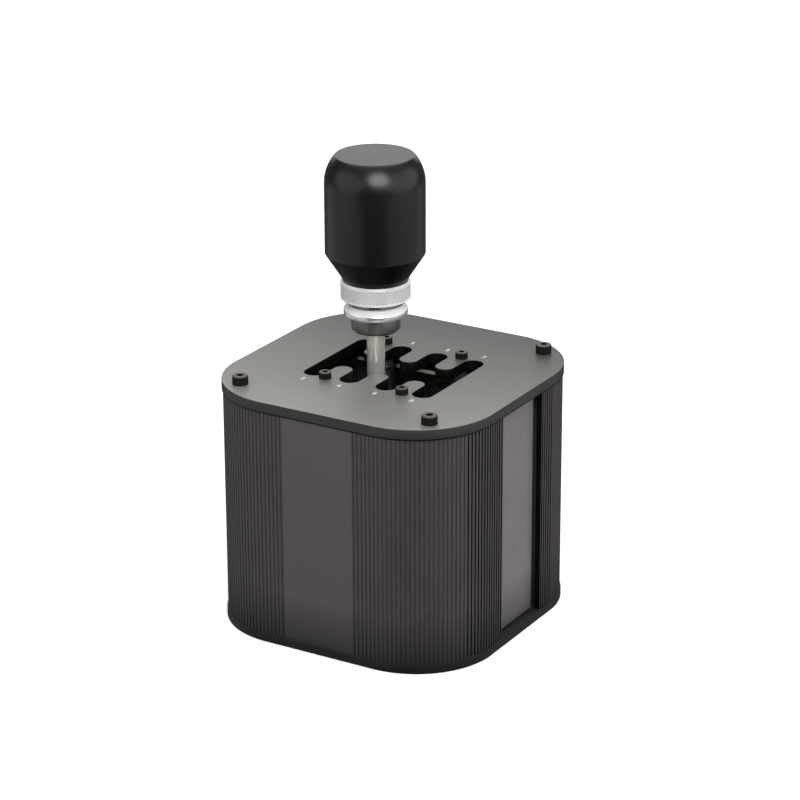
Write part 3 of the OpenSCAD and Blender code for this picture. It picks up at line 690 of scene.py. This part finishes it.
def turned(profile, steps, closed=False):
    """Spins a profile of (radius, height) round the lever's axis."""
    bm = bmesh.new()
    line = [bm.verts.new((LEVER_X + radius, 0, height)) for radius, height in profile]
    ends = line[1:] + line[:1] if closed else line[1:]
    edges = [bm.edges.new(pair) for pair in zip(line, ends)]
    bmesh.ops.spin(
        bm, geom=line + edges, cent=(LEVER_X, 0, 0), axis=(0, 0, 1), angle=math.tau, steps=steps,
        use_merge=True)
    bmesh.ops.remove_doubles(bm, verts=bm.verts, dist=TOUCHING)
    return bm


print("corner in degrees:", round(math.degrees(CORNER)))

# %% [markdown]
# ## The knob
#
# The knob is one lathe form: a foot, a cone, a straight barrel, a round shoulder and a flat top. A sphere or
# a subdivided cylinder would blur the crisp line under the barrel, so the profile is drawn and spun, and only
# its corners are rounded. The shoulder is an arc, which a formula gives.

# %% Knob
KNOB_FOOT_R = 14.4 * MM
KNOB_FOOT_H = 0.8 * MM
KNOB_CONE_H = 12.4 * MM
KNOB_EDGE = 0.25 * MM
SHOULDER_H = 12.5 * MM
SHOULDER_R = 18.75 * MM
SHOULDER_POINTS = 14
INSERT_R = 7.02 * MM
INSERT_L = 36 * MM
ROUND_STEPS = 160

knob_low, knob_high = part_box("knob_body")
knob_r = (knob_high.y - knob_low.y) / 2
shoulder_z = knob_high.z - SHOULDER_H
shoulder_end = math.asin(SHOULDER_H / SHOULDER_R)
shoulder = [
    (knob_r - SHOULDER_R + SHOULDER_R * math.cos(turn), shoulder_z + SHOULDER_R * math.sin(turn))
    for turn in (shoulder_end * i / SHOULDER_POINTS for i in range(SHOULDER_POINTS + 1))
]
knob_profile = [
    (0, knob_low.z + INSERT_L), (INSERT_R, knob_low.z + INSERT_L), (INSERT_R, knob_low.z),
    (KNOB_FOOT_R, knob_low.z), (KNOB_FOOT_R, knob_low.z + KNOB_FOOT_H),
    (knob_r, knob_low.z + KNOB_CONE_H), *shoulder, (0, knob_high.z),
]
knob_bm = turned(knob_profile, ROUND_STEPS)
soften(knob_bm, KNOB_EDGE, segments=3)
knob = make_piece("knob", knob_bm, "knob_black", ["knob_body"])
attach(knob, "lever")

# %% [markdown]
# ## The knurled lock ring
#
# A knurl is pressed in by two crossing sets of teeth, which leaves rows of small pyramids. A bump map would
# look right only from far off, and the outline would stay smooth. Here the ring is spun from a profile with
# many rows, and every other point is pushed in, like the black squares of a chessboard. Joining the low
# points across each square turns the rest into pyramids.

# %% Lock ring
RING_BORE_R = 11.02 * MM
RING_BEVEL = 0.8 * MM
KNURL_TEETH = 76
KNURL_ROWS = 8

knurl_low = ring_low.z + RING_FOOT
knurl_row = (ring_high.z - RING_BEVEL - knurl_low) / KNURL_ROWS
ring_profile = [
    (RING_BORE_R, ring_low.z), (ring_r - RING_FOOT, ring_low.z),
    *[(ring_r, knurl_low + row * knurl_row) for row in range(KNURL_ROWS + 1)],
    (ring_r - RING_BEVEL, ring_high.z), (RING_BORE_R, ring_high.z),
]
ring_bm = turned(ring_profile, 2 * KNURL_TEETH, closed=True)


def is_dip(vert):
    """Whether a point is one of the knurl's low points."""
    across = Vector((vert.co.x - LEVER_X, vert.co.y))
    row = round((vert.co.z - knurl_low) / knurl_row)
    column = round(math.atan2(across.y, across.x) / math.tau * 2 * KNURL_TEETH)
    on_band = across.length > ring_r - TOUCHING and 0 < row < KNURL_ROWS
    return on_band and (row + column) % 2 == 1


dips = [vert for vert in ring_bm.verts if is_dip(vert)]
bmesh.ops.connect_verts(ring_bm, verts=dips)
for dip in dips:
    inwards = Vector((LEVER_X - dip.co.x, -dip.co.y, 0)).normalized()
    dip.co += inwards * KNURL_DEPTH
lock_ring = make_piece("knurled_lock_ring", ring_bm, "ring_silver", ["lock_ring"])
lock_ring.data.shade_flat()
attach(lock_ring, "lever")

# %% [markdown]
# ## Collars under the ring
#
# The silver collar flares out to a rim, and a narrow neck carries the lock ring's thread. The dark adapter
# below it grips the rod. Both are turned parts again, so both are spun, and their corners take a small lathe
# radius.

# %% Silver collar and adapter
ROD_BORE_R = 4.02 * MM
COLLAR_FOOT = 0.3 * MM
COLLAR_BAND = 2.3 * MM
COLLAR_TOP_R = 12.2 * MM
NECK_R = 11 * MM
ADAPTER_BEVEL = 1.05 * MM
LATHE_EDGE = 0.2 * MM

collar_low, collar_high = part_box("silver_collar")
collar_r = (collar_high.y - collar_low.y) / 2
collar_profile = [
    (ROD_BORE_R, collar_low.z), (collar_r - COLLAR_FOOT, collar_low.z),
    (collar_r, collar_low.z + COLLAR_FOOT), (collar_r, collar_low.z + COLLAR_BAND),
    (COLLAR_TOP_R, cone_z), (NECK_R, cone_z), (NECK_R, collar_high.z), (ROD_BORE_R, collar_high.z),
]
collar_bm = turned(collar_profile, ROUND_STEPS, closed=True)
soften(collar_bm, LATHE_EDGE)
collar = make_piece("silver_cone_collar", collar_bm, "collar_silver", ["silver_collar"])
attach(collar, "lever")

adapter_low, adapter_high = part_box("adapter_collar")
adapter_r = (adapter_high.y - adapter_low.y) / 2
adapter_profile = [
    (ROD_BORE_R, adapter_low.z), (adapter_r - ADAPTER_BEVEL, adapter_low.z),
    (adapter_r, adapter_low.z + ADAPTER_BEVEL), (adapter_r, adapter_high.z), (ROD_BORE_R, adapter_high.z),
]
adapter_bm = turned(adapter_profile, ROUND_STEPS, closed=True)
soften(adapter_bm, LATHE_EDGE)
adapter = make_piece("dark_adapter", adapter_bm, "adapter_gunmetal", ["adapter_collar"])
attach(adapter, "lever")

# %% [markdown]
# ## Plates and panels with broken edges
#
# Cut plates always have their edges broken, and that thin bright line is what makes a plate look thick. The
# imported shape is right, so the piece starts as a copy of it: its triangles are merged, flat faces are joined,
# and then the corners can be bevelled in one step.

# %% Plates and panels
BROKEN_EDGE = 0.25 * MM
FLAT = math.radians(0.2)


def copy_of(node):
    """A part's shape as a bmesh with whole faces instead of loose triangles."""
    bm = bmesh.new()
    bm.from_mesh(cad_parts[node].data)
    bmesh.ops.remove_doubles(bm, verts=bm.verts, dist=TOUCHING)
    bmesh.ops.dissolve_limit(bm, angle_limit=FLAT, verts=bm.verts, edges=bm.edges)
    return bm


EDGED = [
    ("gate_plate", "top_plate", "plate_grey"),
    ("foot_plate", "base_plate", "shell_black"),
    ("left_panel", "left_side_panel", "panel_grey"),
    ("right_panel", "right_side_panel", "panel_grey"),
]
for name, node, slot in EDGED:
    edged_bm = copy_of(node)
    soften(edged_bm, BROKEN_EDGE)
    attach(make_piece(name, edged_bm, slot, [node]), "case")

# %% [markdown]
# ## One socket-head screw
#
# A cap screw has a knurled head, a broken top edge and a hexagon socket. It starts as a cylinder with many
# sides. Every other column of the head is pushed in for the knurl, the top is inset twice, and the inner ring
# is pushed on to a hexagon before it sinks.

# %% One cap screw
SCREW_COLUMNS = 72
TOOTH_DEPTH = 0.14 * MM
HEAD_EDGE_SHARE = 0.1
SOCKET_ROOM = 1.04
SOCKET_DEPTH_SHARE = 0.5
DRILL_RIM_SHARE = 0.25
DRILL_DEPTH_SHARE = 0.125


def face_at(bm, height):
    """The face that looks up or down at this height, the widest if there are several."""
    level = [face for face in bm.faces if abs(face.calc_center_median().z - height) < TOUCHING]
    return max(level, key=lambda face: len(face.verts))


def on_hexagon(vert, half_flats):
    """Slides a point out or in to a hexagon of this half width across flats."""
    turn = math.atan2(vert.co.y, vert.co.x)
    off_flat = (turn % math.radians(60)) - math.radians(30)
    reach = half_flats / math.cos(off_flat)
    vert.co.x = reach * math.cos(turn)
    vert.co.y = reach * math.sin(turn)


def cap_screw(head_r, head_h, thread_r, length, flats):
    """One screw with the underside of its head at the origin."""
    edge = head_r * HEAD_EDGE_SHARE
    side = head_h - edge
    bm = bmesh.new()
    bmesh.ops.create_cone(
        bm, cap_ends=True, segments=SCREW_COLUMNS, radius1=head_r, radius2=head_r, depth=side)
    bmesh.ops.translate(bm, vec=(0, 0, side / 2), verts=bm.verts)
    for vert in bm.verts:
        column = round(math.atan2(vert.co.y, vert.co.x) / math.tau * SCREW_COLUMNS)
        inwards = 1 - (column % 2) * TOOTH_DEPTH / head_r
        vert.co.x *= inwards
        vert.co.y *= inwards
    top = face_at(bm, side)
    bmesh.ops.inset_individual(bm, faces=[top], thickness=edge, depth=edge, use_even_offset=True)
    rim = (head_r - edge) - flats / math.sqrt(3) * SOCKET_ROOM
    bmesh.ops.inset_individual(bm, faces=[top], thickness=rim, depth=0)
    for vert in top.verts:
        on_hexagon(vert, flats / 2)
    well = bmesh.ops.extrude_discrete_faces(bm, faces=[top])["faces"][0]
    bmesh.ops.translate(bm, vec=(0, 0, -head_h * SOCKET_DEPTH_SHARE), verts=well.verts)
    bmesh.ops.inset_individual(
        bm, faces=[well], thickness=flats * DRILL_RIM_SHARE, depth=-flats * DRILL_DEPTH_SHARE)
    foot = face_at(bm, 0)
    bmesh.ops.inset_individual(bm, faces=[foot], thickness=head_r - thread_r, depth=0)
    shank = bmesh.ops.extrude_discrete_faces(bm, faces=[foot])["faces"][0]
    bmesh.ops.translate(bm, vec=(0, 0, -length), verts=shank.verts)
    return bm


print("teeth on a screw head:", SCREW_COLUMNS // 2)

# %% [markdown]
# ## Screws in fours
#
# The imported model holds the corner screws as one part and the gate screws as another. Each group is one
# screw, copied to four corners, and every copy is turned a little further, because no fitter lines up the
# sockets.

# %% Groups of cap screws
SCREW_TURN = math.radians(37)


def points_of(items):
    """The points in a list of points, edges and faces."""
    return [item for item in items if isinstance(item, bmesh.types.BMVert)]


def screw_group(name, node, head_r, head_h, thread_r, flats):
    """Four screws at the corners of a part that holds four."""
    low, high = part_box(node)
    seat = high.z - head_h
    bm = cap_screw(head_r, head_h, thread_r, seat - low.z, flats)
    single = bm.verts[:] + bm.edges[:] + bm.faces[:]
    reach = Vector((high.x - head_r, high.y - head_r))
    corners = [(sx * reach.x, sy * reach.y, seat) for sx in (-1, 1) for sy in (-1, 1)]
    for i, corner in enumerate(corners):
        copied = points_of(bmesh.ops.duplicate(bm, geom=single)["geom"])
        turn = Matrix.Rotation(i * SCREW_TURN, 3, "Z")
        bmesh.ops.rotate(bm, cent=(0, 0, 0), matrix=turn, verts=copied)
        bmesh.ops.translate(bm, vec=corner, verts=copied)
    bmesh.ops.delete(bm, geom=points_of(single), context="VERTS")
    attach(make_piece(name, bm, "screw_black", [node]), "case")


screw_group(
    "case_cap_screws", "top_corner_screws", head_r=3.5 * MM, head_h=4 * MM, thread_r=2 * MM, flats=3 * MM)
screw_group(
    "gate_cap_screws", "gate_screws", head_r=2.75 * MM, head_h=3 * MM, thread_r=1.5 * MM, flats=2.5 * MM)

# %% [markdown]
# ## Gear numbers
#
# Small white numbers stand at the ends of the gate's columns. Text is the natural way to make them, but a
# text object carries its place outside its mesh, so each one is made a mesh first and then set down on the
# plate.

# %% Numbers on the gate plate
COLUMN_PITCH = 18.3 * MM
COLUMNS = (-1.5, -0.5, 0.5, 1.5)
ROWS = ((1, "1357"), (-1, "246R"))
NUMBER_Y = 31.3 * MM
NUMBER_SIZE = 4.2 * MM
NUMBER_RAISE = 0.02 * MM
WORN_WHITE = (0.72, 0.72, 0.70, 1)
FRESH_WHITE = (0.92, 0.92, 0.90, 1)


def number_white():
    finish = Finish("number_white")
    worn = finish.noise(cube(0.6 * MM))
    finish.coat(finish.mix(worn, WORN_WHITE, FRESH_WHITE))
    finish.set({"Roughness": 0.55 + worn.swing(0.3)})
    return finish


def letter_mesh(letter):
    """One number as a mesh, centred on the origin."""
    curve = bpy.data.curves.new("number", "FONT")
    curve.body = letter
    curve.size = NUMBER_SIZE
    curve.align_x = "CENTER"
    curve.align_y = "CENTER"
    curve.extrude = NUMBER_RAISE
    text = bpy.data.objects.new("number", curve)
    bpy.context.scene.collection.objects.link(text)
    settled = text.evaluated_get(bpy.context.evaluated_depsgraph_get())
    mesh = bpy.data.meshes.new_from_object(settled)
    bpy.data.objects.remove(text)
    return mesh


numbers_bm = bmesh.new()
for row_side, letters in ROWS:
    for column, letter in zip(COLUMNS, letters):
        number = letter_mesh(letter)
        number.transform(Matrix.Translation((column * COLUMN_PITCH, row_side * NUMBER_Y, plate_high.z)))
        numbers_bm.from_mesh(number)
bmesh.ops.remove_doubles(numbers_bm, verts=numbers_bm.verts, dist=TOUCHING)
numbers = make_piece("gear_numbers", numbers_bm, None, finish=number_white())
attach(numbers, "case")

# %% [markdown]
# ## Coil springs
#
# Four springs push the carriage back to its column, and a fifth presses the detent ball. A coil is a circle
# that turns and travels at once, which is what spin does when it is given a step to travel. The end turns lie
# nearly shut, as on a real spring.

# %% Springs
WIRE_R = 0.45 * MM
WIRE_SIDES = 12
SPRING_TURNS = 6
END_TURNS = 1
TURN_STEPS = 36
SHUT = 1.15


def coil(name, node, axis):
    """A spring in the place of a part, standing along X or Z."""
    low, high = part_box(node)
    middle = (low + high) / 2
    along = Vector((1, 0, 0)) if axis == "X" else Vector((0, 0, 1))
    across = Vector((0, 1, 0))
    length = (high - low).dot(along)
    coil_r = (high - low).dot(across) / 2 - WIRE_R
    start = middle - along * (length / 2 - WIRE_R)
    open_turns = SPRING_TURNS - 2 * END_TURNS
    shut_step = along * (2 * WIRE_R * SHUT / TURN_STEPS)
    shut_travel = shut_step * (2 * END_TURNS * TURN_STEPS)
    open_step = (along * (length - 2 * WIRE_R) - shut_travel) / (open_turns * TURN_STEPS)
    bm = bmesh.new()
    turn = across.cross(along).to_track_quat("Z", "Y").to_matrix().to_4x4()
    place = Matrix.Translation(start + across * coil_r) @ turn
    wire = bmesh.ops.create_circle(bm, segments=WIRE_SIDES, radius=WIRE_R, matrix=place)["verts"]
    tip = wire + list({edge for vert in wire for edge in vert.link_edges})
    for count, step in ((END_TURNS, shut_step), (open_turns, open_step), (END_TURNS, shut_step)):
        tip = bmesh.ops.spin(
            bm, geom=tip, cent=start, axis=along, dvec=step, angle=math.tau * count,
            steps=TURN_STEPS * count, use_merge=False)["geom_last"]
    bmesh.ops.holes_fill(bm, edges=[edge for edge in bm.edges if edge.is_boundary])
    return make_piece(name, bm, "spring_steel", [node])


def centring_spring(row, side):
    """A spring on a guide rod, between the case and the left or right side of the carriage."""
    node = f"spring_{row}_{side}"
    made = coil(f"centring_{node}", node, "X")
    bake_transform(made)


def detent_spring():
    """The spring that the ball presses into the carriage."""
    made = coil("detent_coil", "detent_spring", "Z")
    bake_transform(made)


for rod_row in ("front", "rear"):
    for carriage_side in ("left", "right"):
        centring_spring(rod_row, carriage_side)
detent_spring()
